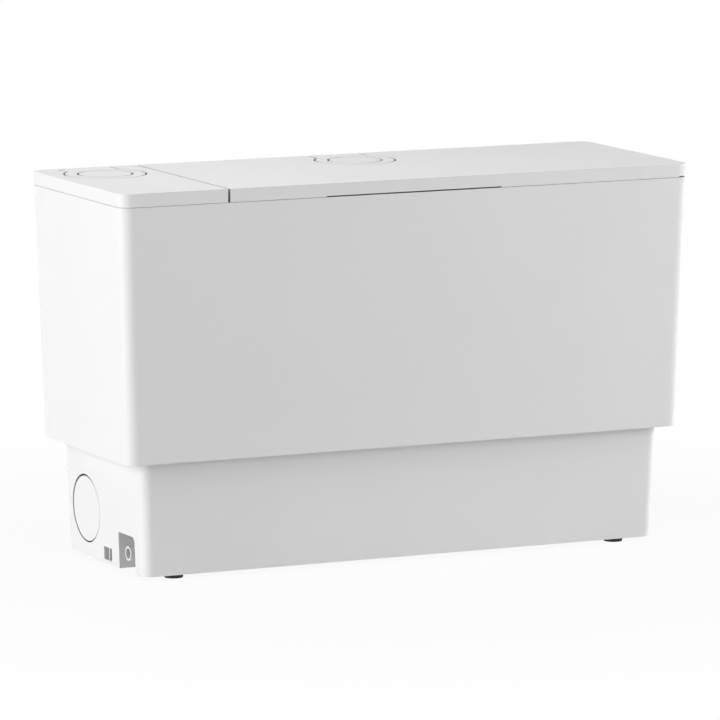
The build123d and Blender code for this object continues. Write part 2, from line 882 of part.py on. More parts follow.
def impeller():
    disc_top = impeller_disc_low + impeller_disc_thickness
    wheel = upright(impeller_radius, impeller_disc_low, disc_top)
    wheel += upright(impeller_hub_radius, impeller_hub_low, impeller_disc_low)
    root_radius = impeller_hub_radius - vane_thickness / 2
    tip_radius = impeller_radius - vane_thickness
    root = PolarLine((0, 0), root_radius, vane_root_angle) @ 1
    middle = PolarLine((0, 0), (root_radius + tip_radius) / 2, vane_middle_angle) @ 1
    tip = PolarLine((0, 0), tip_radius, 0) @ 1
    vane = extrude(trace(ThreePointArc(root, middle, tip), vane_thickness), vane_drop)
    for step in range(vane_count):
        wheel += Pos(0, 0, impeller_disc_low - vane_drop) * Rot(0, 0, step * 360 / vane_count) * vane
    wheel -= upright(shaft_seat_radius + press_gap, impeller_hub_low, disc_top)
    return at_pump(wheel, 0)


def cutter_blade():
    low = casing_low - suction_plate_thickness - rest_gap - blade_thickness
    blade = Box(2 * blade_length, blade_width, blade_thickness, align=from_base)
    blade += Rot(0, 0, 90) * blade
    bevel = blade.edges().group_by(Axis.Z)[0].filter_by(lambda edge: edge.length > blade_length / 2)
    blade = chamfer(bevel, blade_bevel)
    return at_pump(blade - upright(shaft_stub_radius + press_gap, 0, blade_thickness), low)


def cutter_nut():
    top = casing_low - suction_plate_thickness - rest_gap - blade_thickness
    nut = hexagon_head(nut_across_flats, top - nut_height, top, 0, 0)
    return at_pump(nut - upright(shaft_stub_radius + press_gap, top - nut_height, top), 0)


def motor_shaft():
    steps = [
        (shaft_stub_radius, shaft_low, shaft_stub_top),
        (shaft_seat_radius, shaft_stub_top, shaft_seat_top),
        (shaft_journal_radius, shaft_seat_top, shaft_journal_top),
        (shaft_core_radius, shaft_journal_top, shaft_core_top),
        (shaft_top_radius, shaft_core_top, shaft_top),
    ]
    outline = [(0, shaft_low)]
    for radius, low, high in steps:
        outline += [(radius, low), (radius, high)]
    outline.append((0, shaft_top))
    return at_pump(revolve(Plane.XZ * make_face(Polyline(outline, close=True)), Axis.Z), 0)


def seal_housing():
    inner_radius = seal_body_radius - seal_body_wall
    body = upright(seal_flange_radius, casing_top, casing_top + seal_flange_thickness)
    body += upright(seal_body_radius, casing_top, seal_top_z)
    body -= upright(inner_radius, casing_top + seal_flange_thickness, seal_top_z)
    body -= upright(seal_ring_radius, casing_top, seal_top_z)
    return at_pump(body, 0)


def shaft_seal():
    ring = upright(seal_ring_radius - press_gap, casing_top, casing_top + seal_ring_height)
    ring -= upright(shaft_seat_radius + running_gap, casing_top, casing_top + seal_ring_height)
    return at_pump(ring, 0)


def bearing_shield():
    disc_top = seal_top_z + shield_thickness
    shield = upright(shield_radius, seal_top_z, disc_top)
    shield += upright(motor_radius - motor_wall - press_gap, disc_top, disc_top + shield_spigot)
    shield -= upright(shaft_journal_radius + shaft_clearance, seal_top_z, disc_top + shield_spigot)
    shield -= upright(lower_bearing_radius + press_gap, lower_bearing_low(), disc_top + shield_spigot)
    return at_pump(shield, 0)


def lower_bearing_low():
    return seal_top_z + shield_thickness + shield_spigot - lower_bearing_height


def upper_bearing_low():
    return shaft_top - upper_bearing_height


def motor_bearings():
    low = lower_bearing_low()
    lower = upright(lower_bearing_radius, low, low + lower_bearing_height)
    lower -= upright(shaft_journal_radius + running_gap, low, low + lower_bearing_height)
    top = upright(upper_bearing_radius, upper_bearing_low(), shaft_top)
    top -= upright(shaft_top_radius + running_gap, upper_bearing_low(), shaft_top)
    return Compound([at_pump(lower, 0), at_pump(top, 0)])


def motor_housing():
    low = seal_top_z + shield_thickness
    tube = upright(motor_radius, low, cover_top) - upright(motor_radius - motor_wall, low, cover_top)
    return at_pump(tube, 0)


def motor_cap():
    half = motor_flange_side / 2
    flange_top = cover_top + motor_flange_thickness
    cap = rounded_block(-half, half, -half, half, cover_top, flange_top, motor_flange_corner)
    half_box = terminal_side / 2
    terminal_top = flange_top + terminal_height
    cap += rounded_block(
        -half_box, half_box, -half_box, half_box, flange_top, terminal_top, terminal_corner
    )
    cap += upright(cap_hub_radius, cover_top - cap_hub_depth, cover_top)
    cap -= upright(upper_bearing_radius + press_gap, cover_top - cap_hub_depth, shaft_top + rest_gap)
    lead_end = lead_start_x() - pump_x
    cap -= along_x(lead_radius + press_gap, lead_end, half_box, lead_y - pump_y, lead_z)
    return at_pump(cap, 0)


def stator_core():
    core = upright(motor_radius - motor_wall - press_gap, stator_low, stator_low + stator_height)
    return at_pump(core - upright(stator_bore, stator_low, stator_low + stator_height), 0)


def stator_windings():
    ends = []
    for low in (stator_low - winding_height, stator_low + stator_height):
        ring = upright(winding_outer, low, low + winding_height)
        ends.append(at_pump(ring - upright(winding_inner, low, low + winding_height), 0))
    return Compound(ends)


def rotor_core():
    core = upright(stator_bore - air_gap, stator_low, stator_low + stator_height)
    return at_pump(core - upright(shaft_core_radius + press_gap, stator_low, stator_low + stator_height), 0)


# Discharge line

def riser_route():
    # The bend out of the pump is cut in two equal mitres, as a welded pipe bend is.
    start = pump_x - outlet_reach
    return [
        (start, outlet_z),
        (riser_x + riser_bend, outlet_z),
        (riser_x, outlet_z + riser_bend),
        (riser_x, riser_shift_low),
        (small_disc_x, riser_shift_high),
        (small_disc_x, valve_low),
    ]


def pipe_along(route, radius):
    # Straight lengths that meet in mitres, each cut by the plane that halves the angle.
    points = [Vector(x, small_disc_y, z) for x, z in route]
    lengths = []
    for here, there, before, after in zip(points, points[1:], [None] + points, points[2:] + [None]):
        run = (there - here).normalized()
        start = Plane(origin=here - run * radius, z_dir=run)
        length = start * Cylinder(radius, (there - here).length + 2 * radius, align=from_base)
        start_normal = run if before is None else run + (here - before).normalized()
        end_normal = run if after is None else run + (after - there).normalized()
        length = split(length, bisect_by=Plane(origin=here, z_dir=start_normal), keep=Keep.TOP)
        lengths.append(split(length, bisect_by=Plane(origin=there, z_dir=end_normal), keep=Keep.BOTTOM))
    return lengths[0] + lengths[1:]


def discharge_riser():
    route = riser_route()
    socket_start = route[0][0]
    socket_bore = outlet_bore + outlet_wall + running_gap
    socket_end = socket_start + riser_socket_length
    socket = along_x(
        socket_bore + riser_wall, socket_start - riser_wall, socket_end, small_disc_y, outlet_z
    )
    pipe = pipe_along(route, riser_bore + riser_wall) + socket
    pipe -= pipe_along(route, riser_bore)
    return pipe - along_x(socket_bore, socket_start, socket_end, small_disc_y, outlet_z)


def valve_limits(inset):
    return (
        small_disc_x - valve_half_side + inset, small_disc_x + valve_half_side - inset,
        small_disc_y - valve_half_side + inset, small_disc_y + valve_half_side - inset,
    )


def check_valve_body():
    chamber_low = valve_low + valve_seat_thickness
    body = rounded_block(*valve_limits(0), valve_low, cover_low, valve_corner)
    body -= rounded_block(
        *valve_limits(valve_wall), chamber_low, cover_low - valve_wall, valve_corner - valve_wall
    )
    body += upright(nozzle_radius, cover_low, nozzle_top, small_disc_x, small_disc_y)
    spigot_low = valve_low - valve_spigot_length
    body += upright(riser_bore - press_gap, spigot_low, valve_low, small_disc_x, small_disc_y)
    body -= upright(nozzle_bore, cover_low - valve_wall, nozzle_top, small_disc_x, small_disc_y)
    body -= upright(valve_port_radius, spigot_low, chamber_low, small_disc_x, small_disc_y)
    x_low, x_high = valve_limits(2 * valve_wall)[:2]
    y_low, y_high = valve_limits(0)[2:]
    body -= block(x_low, x_high, y_low, small_disc_y, chamber_low, cover_low - 2 * valve_wall)
    return body - along_y(check_pin_radius + press_gap, y_low, y_high, check_hinge_x(), check_hinge_z())


def check_hinge_x():
    return small_disc_x - check_hinge_offset


def check_hinge_z():
    return valve_low + valve_seat_thickness + rest_gap + check_barrel_radius


def check_valve_flap():
    low = valve_low + valve_seat_thickness + rest_gap
    high = low + check_flap_thickness
    y_low = small_disc_y - check_flap_radius
    y_high = small_disc_y + check_flap_radius
    flap = upright(check_flap_radius, low, high, small_disc_x, small_disc_y)
    flap += block(check_hinge_x(), small_disc_x, y_low, y_high, low, high)
    flap += along_y(check_barrel_radius, y_low, y_high, check_hinge_x(), check_hinge_z())
    return flap - along_y(check_pin_radius + running_gap, y_low, y_high, check_hinge_x(), check_hinge_z())


def check_valve_pin():
    y_low, y_high = valve_limits(0)[2:]
    return along_y(check_pin_radius, y_low, y_high, check_hinge_x(), check_hinge_z())


def valve_bonnet():
    x_low, x_high, y_low = valve_limits(0)[:3]
    return block(x_low, x_high, y_low - bonnet_thickness, y_low, valve_low, cover_low - rest_gap)


def discharge_hose():
    inner = nozzle_radius + press_gap
    hose = upright(inner + hose_wall, hose_low, hose_top, small_disc_x, small_disc_y)
    return hose - upright(inner, hose_low, hose_top, small_disc_x, small_disc_y)


def hose_clamps():
    inner = nozzle_radius + press_gap + hose_wall + press_gap
    low = hose_low + clamp_width
    ring = upright(inner + clamp_thickness, low, low + clamp_width, small_disc_x, small_disc_y)
    worm = block(
        small_disc_x - clamp_width / 2, small_disc_x + clamp_width / 2, small_disc_y - inner - clamp_width,
        small_disc_y - inner, low, low + clamp_width,
    )
    ring += worm
    return ring - upright(inner, low, low + clamp_width, small_disc_x, small_disc_y)


# Vent

def filter_centre():
    return (filter_x_low + filter_x_high) / 2, (filter_y_low + filter_y_high) / 2


def filter_limits(inset):
    return filter_x_low + inset, filter_x_high - inset, filter_y_low + inset, filter_y_high - inset


def vent_filter_housing():
    top = cover_top + filter_height
    housing = rounded_block(*filter_limits(0), cover_top, top, filter_corner)
    inner_corner = filter_corner - filter_wall
    housing -= rounded_block(*filter_limits(filter_wall), cover_top + filter_wall, top, inner_corner)
    return housing - upright(vent_hole_radius, cover_top, top, *filter_centre())


def carbon_filter():
    low = cover_top + filter_wall
    high = cover_top + filter_height - rest_gap
    return rounded_block(*filter_limits(filter_wall + rest_gap), low, high, filter_corner - filter_wall)


def filter_cap():
    low = cover_top + filter_height
    high = low + filter_cap_height
    cap = rounded_block(*filter_limits(0), low, high, filter_corner)
    cap -= block(*filter_limits(2 * filter_wall), low, high - filter_wall)
    x_low, x_high, y_low, y_high = filter_limits(4 * filter_wall)
    pitch = (y_high - y_low) / vent_slots
    for step in range(vent_slots):
        y = y_low + pitch * (step + 0.5)
        cap -= block(x_low, x_high, y - vent_slot_width / 2, y + vent_slot_width / 2, low, high)
    return cap


# Level sensing

def pressure_dome():
    dome = upright(dome_radius, dome_low, cover_low, dome_x, dome_y)
    dome -= upright(dome_radius - dome_wall, dome_low, cover_low - dome_wall, dome_x, dome_y)
    dome += upright(dome_hole_radius, cover_low, nipple_z + 2 * nipple_radius, dome_x, dome_y)
    dome += along_x(nipple_radius, dome_x, dome_x + nipple_reach, dome_y, nipple_z)
    dome -= upright(nipple_radius / 2, cover_low - dome_wall, nipple_z, dome_x, dome_y)
    return dome - along_x(nipple_radius / 2, dome_x, dome_x + nipple_reach, dome_y, nipple_z)


def pressure_hose():
    start = dome_x + dome_hole_radius
    finish = switch_x - switch_radius
    hose = along_x(nipple_radius + press_gap + pressure_hose_wall, start, finish, dome_y, nipple_z)
    return hose - along_x(nipple_radius + press_gap, start, finish, dome_y, nipple_z)


def pressure_switch():
    low = cover_top + box_wall
    body = upright(switch_radius, low, low + switch_height, switch_x, dome_y)
    start = switch_x - switch_radius - nipple_reach
    body += along_x(nipple_radius, start, switch_x, dome_y, nipple_z)
    return body - along_x(nipple_radius / 2, start, switch_x, dome_y, nipple_z)


# Control box

def box_limits(inset):
    return box_x_low + inset, box_x_high - inset, box_y_low + inset, box_y_high - inset


def control_box():
    top = cover_top + box_height
    box = rounded_block(*box_limits(0), cover_top, top, box_corner)
    box -= rounded_block(*box_limits(box_wall), cover_top + box_wall, top, box_corner - box_wall)
    floor = cover_top + box_wall
    for x in (board_x_low + box_corner, board_x_high - box_corner):
        for y in (board_y_low + box_corner, board_y_high - box_corner):
            box += block(x - box_wall, x + box_wall, y - box_wall, y + box_wall, floor, floor + board_rise)
    hose_radius = nipple_radius + press_gap + pressure_hose_wall
    box -= along_x(hose_radius + press_gap, box_x_low, box_x_low + box_wall, dome_y, nipple_z)
    return box - along_x(lead_radius + press_gap, box_x_low, box_x_low + box_wall, lead_y, lead_z)


def control_box_lid():
    low = cover_top + box_height
    high = low + box_lid_thickness
    plate = rounded_block(*box_limits(0), low, high, box_corner)
    lip = rounded_block(*box_limits(box_wall + rest_gap), low - box_wall, low, box_corner - box_wall)
    lip -= rounded_block(*box_limits(2 * box_wall + rest_gap), low - box_wall, low, box_wall / 2)
    return plate + lip


def circuit_board():
    low = cover_top + box_wall + board_rise
    top = low + board_thickness
    board = block(board_x_low, board_x_high, board_y_low, board_y_high, low, top)
    relay_y = board_y_low + relay_inset
    for step in range(relay_count):
        relay_x = board_x_high - relay_inset - (step + 1) * relay_pitch
        board += block(relay_x, relay_x + relay_side, relay_y, relay_y + relay_depth, top, top + relay_height)
    return board


def run_capacitor():
    low = cover_top + box_wall + rest_gap + capacitor_radius
    return along_x(capacitor_radius, capacitor_x_low, capacitor_x_high, capacitor_y, low)


def lead_start_x():
    return pump_x + terminal_side / 2 - 2 * lead_radius


def motor_lead():
    return along_x(lead_radius, lead_start_x(), box_x_low + terminal_block_length, lead_y, lead_z)


def cable_grommet():
    # The bush fills the hole and its flange sits against the inside of the rear wall.
    rear = upper_half_depth(grommet_z)
    flange_high = upper_half_depth(grommet_z - grommet_flange_radius) - wall - press_gap
    flange_low = flange_high - grommet_flange
    end = rear + grommet_proud
    grommet = along_y(grommet_hole_radius - press_gap, flange_low, end, grommet_x, grommet_z)
    grommet += along_y(grommet_flange_radius, flange_low, flange_high, grommet_x, grommet_z)
    return grommet - along_y(grommet_bore, flange_low, end, grommet_x, grommet_z)


os.makedirs("parts", exist_ok=True)
save(tank(), "tank")
save(rubber_feet(), "rubber_feet")
save(main_lid(), "main_lid")
save(small_lid(), "small_lid")
for side, disc_x, disc_y in (("main", main_disc_x, main_disc_y), ("small", small_disc_x, small_disc_y)):
    save(keyhole_insert(disc_x, disc_y), f"keyhole_insert_{side}")
    save(knockout_disc(disc_x, disc_y), f"knockout_disc_{side}")
for maker in (
    service_cover, cover_gasket, cover_screws, dn40_sleeves, flap_pins, wc_inlet_sleeve, pump_casing,
    suction_plate, pump_screws, cutter_ring, impeller, cutter_blade, cutter_nut, motor_shaft, seal_housing,
    shaft_seal, bearing_shield, motor_bearings, motor_housing, motor_cap, stator_core, stator_windings,
    rotor_core, discharge_riser, check_valve_body, check_valve_flap, check_valve_pin, valve_bonnet,
    discharge_hose, hose_clamps, vent_filter_housing, carbon_filter, filter_cap, pressure_dome,
    pressure_hose, pressure_switch, control_box, control_box_lid, circuit_board, run_capacitor,
    motor_lead, cable_grommet,
):
    save(maker(), maker.__name__)
for side, plane in (("left", None), ("right", Plane.YZ)):
    for maker, node in ((left_inlet_cap, "side_inlet_cap"), (left_inlet_flap, "side_inlet_flap")):
        piece = maker() if plane is None else mirror(maker(), about=plane)
        save(piece, f"{node}_{side}")
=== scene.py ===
import bpy
import bmesh
import math
from mathutils import Matrix, Vector


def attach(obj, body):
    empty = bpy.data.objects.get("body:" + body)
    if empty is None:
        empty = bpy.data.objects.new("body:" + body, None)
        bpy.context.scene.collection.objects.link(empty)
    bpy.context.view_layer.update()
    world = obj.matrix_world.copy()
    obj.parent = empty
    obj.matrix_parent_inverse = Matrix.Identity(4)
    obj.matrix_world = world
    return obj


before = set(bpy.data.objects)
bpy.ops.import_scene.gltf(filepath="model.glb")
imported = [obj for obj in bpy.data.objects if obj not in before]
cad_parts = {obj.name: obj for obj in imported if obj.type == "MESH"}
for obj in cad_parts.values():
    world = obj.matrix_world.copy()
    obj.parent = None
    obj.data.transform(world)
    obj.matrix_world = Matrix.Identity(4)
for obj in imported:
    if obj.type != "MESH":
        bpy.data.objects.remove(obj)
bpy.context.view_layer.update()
print("frame loaded:", len(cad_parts), "nodes")


# Camera: the photograph's viewpoint, a long lens from the front left
cameraSetup = {
    "target": Vector((0.0, 0.0, 0.150)),
    "distance": 5.1951,
    "turn": 25.452,          # degrees to the left of straight on
    "rise": 8.275,           # degrees above the horizon
    "lens": 321.94,
    "sensor": 36.0,
    "shiftX": -0.0023,
    "shiftY": 0.0034,
    "clipStart": 0.05,
    "clipEnd": 100.0,
}


def makeCamera(setup):
    turn, rise = math.radians(setup["turn"]), math.radians(setup["rise"])
    away = Vector((-math.sin(turn) * math.cos(rise), -math.cos(turn) * math.cos(rise),
                   math.sin(rise)))
    data = bpy.data.cameras.new("photoCamera")
    data.lens = setup["lens"]
    data.sensor_width = setup["sensor"]
    data.shift_x = setup["shiftX"]
    data.shift_y = setup["shiftY"]
    data.clip_start = setup["clipStart"]
    data.clip_end = setup["clipEnd"]
    camera = bpy.data.objects.new("photoCamera", data)
    camera.location = setup["target"] + away * setup["distance"]
    camera.rotation_euler = (-away).to_track_quat("-Z", "Y").to_euler()
    bpy.context.collection.objects.link(camera)
    bpy.context.scene.camera = camera


makeCamera(cameraSetup)
bpy.context.scene.view_settings.view_transform = "Standard"
print("camera placed")


# Small helpers for shader trees

def addNode(tree, kind, inputs=None, **settings):
    node = tree.nodes.new(kind)
    for key, value in settings.items():
        setattr(node, key, value)
    for key, value in (inputs or {}).items():
        if isinstance(value, bpy.types.NodeSocket):
            tree.links.new(value, node.inputs[key])
        else:
            node.inputs[key].default_value = value
    return node


def emptyMaterial(name):
    material = bpy.data.materials.new(name)
    material.use_nodes = True
    material.node_tree.nodes.clear()
    return material, material.node_tree


def newGroup(name, inputs, outputs):
    group = bpy.data.node_groups.new(name, "ShaderNodeTree")
    for label, kind, value in inputs:
        socket = group.interface.new_socket(name=label, in_out="INPUT", socket_type=kind)
        socket.default_value = value
    for label, kind in outputs:
        group.interface.new_socket(name=label, in_out="OUTPUT", socket_type=kind)
    return group, addNode(group, "NodeGroupInput"), addNode(group, "NodeGroupOutput")


def placeGroup(tree, group, values):
    return addNode(tree, "ShaderNodeGroup", values, node_tree=group)


# Surface effects that more than one finish uses, each with its starting values
grainSetup = {"scale": 2600.0, "wave": 14.0, "share": 0.7, "fineDetail": 2.0, "waveDetail": 1.5}


def makeGrainGroup(setup):
    # Spark-eroded mould grain: a fine height, a slow waviness and a slow tone.
    group, entry, leave = newGroup(
        "mouldGrain",
        [("Grain Scale", "NodeSocketFloat", setup["scale"]),
         ("Wave Scale", "NodeSocketFloat", setup["wave"]),
         ("Grain Share", "NodeSocketFloat", setup["share"])],
        [("Height", "NodeSocketFloat"), ("Tone", "NodeSocketFloat")],
    )
    place = addNode(group, "ShaderNodeTexCoord")
    fine = addNode(group, "ShaderNodeTexNoise", {
        "Vector": place.outputs["Object"], "Scale": entry.outputs["Grain Scale"],
        "Detail": setup["fineDetail"]})
    wave = addNode(group, "ShaderNodeTexNoise", {
        "Vector": place.outputs["Object"], "Scale": entry.outputs["Wave Scale"],
        "Detail": setup["waveDetail"]})
    height = addNode(group, "ShaderNodeMix", {
        "Factor": entry.outputs["Grain Share"], "A": wave.outputs["Fac"], "B": fine.outputs["Fac"]})
    group.links.new(height.outputs["Result"], leave.inputs["Height"])
    group.links.new(wave.outputs["Fac"], leave.inputs["Tone"])
    return group


brushSetup = {"stretch": (1.0, 1.0, 60.0), "scale": 40.0, "detail": 4.0}


def makeBrushGroup(setup):
    # Turning or drawing marks: noise stretched along one direction.
    group, entry, leave = newGroup(
        "toolMarks",
        [("Stretch", "NodeSocketVector", setup["stretch"]),
         ("Mark Scale", "NodeSocketFloat", setup["scale"])],
        [("Height", "NodeSocketFloat"), ("Streak", "NodeSocketFloat")],
    )
    place = addNode(group, "ShaderNodeTexCoord")
    pulled = addNode(group, "ShaderNodeVectorMath", {
        0: place.outputs["Object"], 1: entry.outputs["Stretch"]}, operation="MULTIPLY")
    marks = addNode(group, "ShaderNodeTexNoise", {
        "Vector": pulled.outputs["Vector"], "Scale": entry.outputs["Mark Scale"],
        "Detail": setup["detail"]})
    group.links.new(marks.outputs["Fac"], leave.inputs["Height"])
    group.links.new(marks.outputs["Fac"], leave.inputs["Streak"])
    return group


dustSetup = {"amount": 0.3, "patch": 30.0, "detail": 6.0, "steepest": 0.2}


def makeDustGroup(setup):
    # A mask that is stronger on faces that look up and broken up by noise.
    group, entry, leave = newGroup(
        "fineDust",
        [("Amount", "NodeSocketFloat", setup["amount"]),
         ("Patch Scale", "NodeSocketFloat", setup["patch"])],
        [("Mask", "NodeSocketFloat")],
    )
    geometry = addNode(group, "ShaderNodeNewGeometry")
    split = addNode(group, "ShaderNodeSeparateXYZ", {"Vector": geometry.outputs["Normal"]})
    place = addNode(group, "ShaderNodeTexCoord")
    patch = addNode(group, "ShaderNodeTexNoise", {
        "Vector": place.outputs["Object"], "Scale": entry.outputs["Patch Scale"],
        "Detail": setup["detail"]})
    upward = addNode(group, "ShaderNodeMapRange", {
        "Value": split.outputs["Z"], "From Min": setup["steepest"], "From Max": 1.0})
    broken = addNode(group, "ShaderNodeMath", {
        0: upward.outputs["Result"], 1: patch.outputs["Fac"]}, operation="MULTIPLY")
    amount = addNode(group, "ShaderNodeMath", {
        0: broken.outputs["Value"], 1: entry.outputs["Amount"]},
        operation="MULTIPLY", use_clamp=True)
    group.links.new(amount.outputs["Value"], leave.inputs["Mask"])
    return group


# Reach and strength of the painted shade in seams and inside corners
paintedShadeSetup = {
    "seamReach": 0.005, "seamOpen": 0.5, "seamShut": 0.05, "seamDepth": 1.0,
    "cornerReach": 0.018, "cornerDepth": 0.4, "samples": 6,
}


def makePaintedShadeGroup(setup):
    # A mask of painted shade: seams and inside corners are darkened by ambient occlusion, where
    # little light gets in.
    group, entry, leave = newGroup(
        "paintedCreaseShade",
        [("Seam Reach", "NodeSocketFloat", setup["seamReach"]),
         ("Corner Reach", "NodeSocketFloat", setup["cornerReach"]),
         ("Seam Open", "NodeSocketFloat", setup["seamOpen"]),
         ("Seam Depth", "NodeSocketFloat", setup["seamDepth"]),
         ("Corner Depth", "NodeSocketFloat", setup["cornerDepth"])],
        [("Mask", "NodeSocketFloat")],
    )
    seam = addNode(group, "ShaderNodeAmbientOcclusion", {
        "Distance": entry.outputs["Seam Reach"]}, samples=setup["samples"])
    corner = addNode(group, "ShaderNodeAmbientOcclusion", {
        "Distance": entry.outputs["Corner Reach"]}, samples=setup["samples"], only_local=True)
    seamMask = addNode(group, "ShaderNodeMapRange", {
        "Value": seam.outputs["AO"], "From Min": entry.outputs["Seam Open"],
        "From Max": setup["seamShut"], "To Max": entry.outputs["Seam Depth"]})
    cornerMask = addNode(group, "ShaderNodeMapRange", {
        "Value": corner.outputs["AO"], "From Min": 1.0, "From Max": 0.0,
        "To Max": entry.outputs["Corner Depth"]})
    both = addNode(group, "ShaderNodeMath", {
        0: seamMask.outputs["Result"], 1: cornerMask.outputs["Result"]},
        operation="ADD", use_clamp=True)
    group.links.new(both.outputs["Value"], leave.inputs["Mask"])
    return group


grainGroup = makeGrainGroup(grainSetup)
brushGroup = makeBrushGroup(brushSetup)
dustGroup = makeDustGroup(dustSetup)
paintedShadeGroup = makePaintedShadeGroup(paintedShadeSetup)


# Steps that the finishes are made of
noiseSpan = {"low": 0.25, "high": 0.75}     # a noise value seldom lies outside it
polymerIor = 1.5                            # of the plastics, rubbers and the ceramic


def mixColours(tree, factor, first, second):
    mix = addNode(tree, "ShaderNodeMix", {"Factor": factor}, data_type="RGBA")
    mix.inputs["A"].default_value = (*first, 1.0)
    mix.inputs["B"].default_value = (*second, 1.0)
    return mix.outputs["Result"]


def finishMaterial(tree, colour, roughness, height, bump, **plain):
    shader = addNode(tree, "ShaderNodeBsdfPrincipled", {
        "Base Color": colour, "Roughness": roughness, **plain})
    relief = addNode(tree, "ShaderNodeBump", {"Height": height, **bump})
    tree.links.new(relief.outputs["Normal"], shader.inputs["Normal"])
    leave = addNode(tree, "ShaderNodeOutputMaterial")
    tree.links.new(shader.outputs["BSDF"], leave.inputs["Surface"])


def spread(tree, value, low, high):
    # Stretches a noise value over the range from low to high.
    node = addNode(tree, "ShaderNodeMapRange", {
        "Value": value, "From Min": noiseSpan["low"], "From Max": noiseSpan["high"],
        "To Min": low, "To Max": high})
    return node.outputs["Result"]


def mouldedPlastic(name, look):
    material, tree = emptyMaterial(name)
    grain = placeGroup(tree, grainGroup, {
        "Grain Scale": look["grain"], "Wave Scale": look["wave"], "Grain Share": look["share"]})
    tone = spread(tree, grain.outputs["Tone"], 0.0, 1.0)
    colour = mixColours(tree, tone, look["low"], look["high"])
    # Painted shade: in seams and inside corners the colour darkens towards a near-black one, by the
    # ambient-occlusion mask
    if "shadeColour" in look:
        crease = placeGroup(tree, paintedShadeGroup, {
            "Seam Open": look["seamOpen"], "Seam Depth": look["seamDepth"],
            "Corner Depth": look["cornerDepth"]})
        paintedShadeMix = addNode(tree, "ShaderNodeMix", {"Factor": crease.outputs["Mask"]}, data_type="RGBA")
        tree.links.new(colour, paintedShadeMix.inputs["A"])
        paintedShadeMix.inputs["B"].default_value = (*look["shadeColour"], 1.0)
        colour = paintedShadeMix.outputs["Result"]
    roughness = spread(tree, grain.outputs["Height"], *look["roughness"])
    finishMaterial(tree, colour, roughness, grain.outputs["Height"],
                   {"Strength": look["bump"], "Distance": look["depth"]}, IOR=polymerIor)
    return material


def workedMetal(name, look):
    material, tree = emptyMaterial(name)
    marks = placeGroup(tree, brushGroup, {"Stretch": look["stretch"], "Mark Scale": look["scale"]})
    tone = spread(tree, marks.outputs["Streak"], 0.0, 1.0)
    colour = mixColours(tree, tone, look["low"], look["high"])
    roughness = spread(tree, marks.outputs["Streak"], *look["roughness"])
    finishMaterial(tree, colour, roughness, marks.outputs["Height"],
                   {"Strength": look["bump"], "Distance": look["depth"]}, Metallic=1.0)
    return material


def dustyRubber(name, look):
    material, tree = emptyMaterial(name)
    grain = placeGroup(tree, grainGroup, {
        "Grain Scale": look["grain"], "Wave Scale": look["wave"], "Grain Share": look["share"]})
    dust = placeGroup(tree, dustGroup, {"Amount": look["dust"], "Patch Scale": look["patch"]})
    colour = mixColours(tree, dust.outputs["Mask"], look["low"], look["high"])
    roughness = spread(tree, grain.outputs["Height"], *look["roughness"])
    finishMaterial(tree, colour, roughness, grain.outputs["Height"],
                   {"Strength": look["bump"], "Distance": look["depth"]}, IOR=polymerIor)
    return material


# Finishes; low and high are the two colours that each one drifts between
# whitePlastic darkens towards near black in its seams and inside corners: painted shade
whitePlastic = mouldedPlastic("whitePlastic", {
    "low": (0.83, 0.832, 0.83), "high": (0.85, 0.85, 0.847), "grain": 2600.0, "wave": 9.0,
    "share": 0.75, "roughness": (0.36, 0.44), "bump": 0.10, "depth": 0.00006,
    "shadeColour": (0.02, 0.02, 0.019), "seamOpen": 0.5, "seamDepth": 1.0, "cornerDepth": 0.22})
greyPlastic = mouldedPlastic("greyPlastic", {
    "low": (0.17, 0.175, 0.185), "high": (0.20, 0.205, 0.215), "grain": 1800.0, "wave": 22.0,
    "share": 0.8, "roughness": (0.45, 0.58), "bump": 0.25, "depth": 0.0001})
lightGreyPlastic = mouldedPlastic("lightGreyPlastic", {
    "low": (0.44, 0.45, 0.46), "high": (0.50, 0.51, 0.52), "grain": 2000.0, "wave": 18.0,
    "share": 0.8, "roughness": (0.40, 0.52), "bump": 0.2, "depth": 0.0001})
blackPlastic = mouldedPlastic("blackPlastic", {
    "low": (0.018, 0.018, 0.019), "high": (0.028, 0.028, 0.03), "grain": 1500.0, "wave": 25.0,
    "share": 0.8, "roughness": (0.42, 0.55), "bump": 0.25, "depth": 0.0001})
capacitorShell = mouldedPlastic("capacitorShell", {
    "low": (0.55, 0.55, 0.52), "high": (0.62, 0.62, 0.6), "grain": 1200.0, "wave": 40.0,
    "share": 0.5, "roughness": (0.25, 0.35), "bump": 0.1, "depth": 0.00005})
boardGreen = mouldedPlastic("boardGreen", {
    "low": (0.01, 0.12, 0.045), "high": (0.015, 0.17, 0.06), "grain": 500.0, "wave": 160.0,
    "share": 0.4, "roughness": (0.25, 0.42), "bump": 0.3, "depth": 0.00005})
sealCeramic = mouldedPlastic("sealCeramic", {
    "low": (0.68, 0.66, 0.62), "high": (0.76, 0.74, 0.7), "grain": 3000.0, "wave": 60.0,
    "share": 0.5, "roughness": (0.15, 0.25), "bump": 0.1, "depth": 0.00003})
carbonGranules = mouldedPlastic("carbonGranules", {
    "low": (0.008, 0.008, 0.009), "high": (0.04, 0.04, 0.042), "grain": 420.0, "wave": 300.0,
    "share": 0.5, "roughness": (0.5, 0.9), "bump": 1.0, "depth": 0.0012})
softRubber = dustyRubber("softRubber", {
    "low": (0.014, 0.014, 0.015), "high": (0.09, 0.088, 0.085), "grain": 1600.0, "wave": 60.0,
    "share": 0.8, "dust": 0.35, "patch": 90.0, "roughness": (0.55, 0.75), "bump": 0.35,
    "depth": 0.0002})
cordRubber = dustyRubber("cordRubber", {
    "low": (0.012, 0.012, 0.012), "high": (0.06, 0.06, 0.06), "grain": 900.0, "wave": 60.0,
    "share": 0.8, "dust": 0.2, "patch": 90.0, "roughness": (0.4, 0.55), "bump": 0.25,
    "depth": 0.0002})
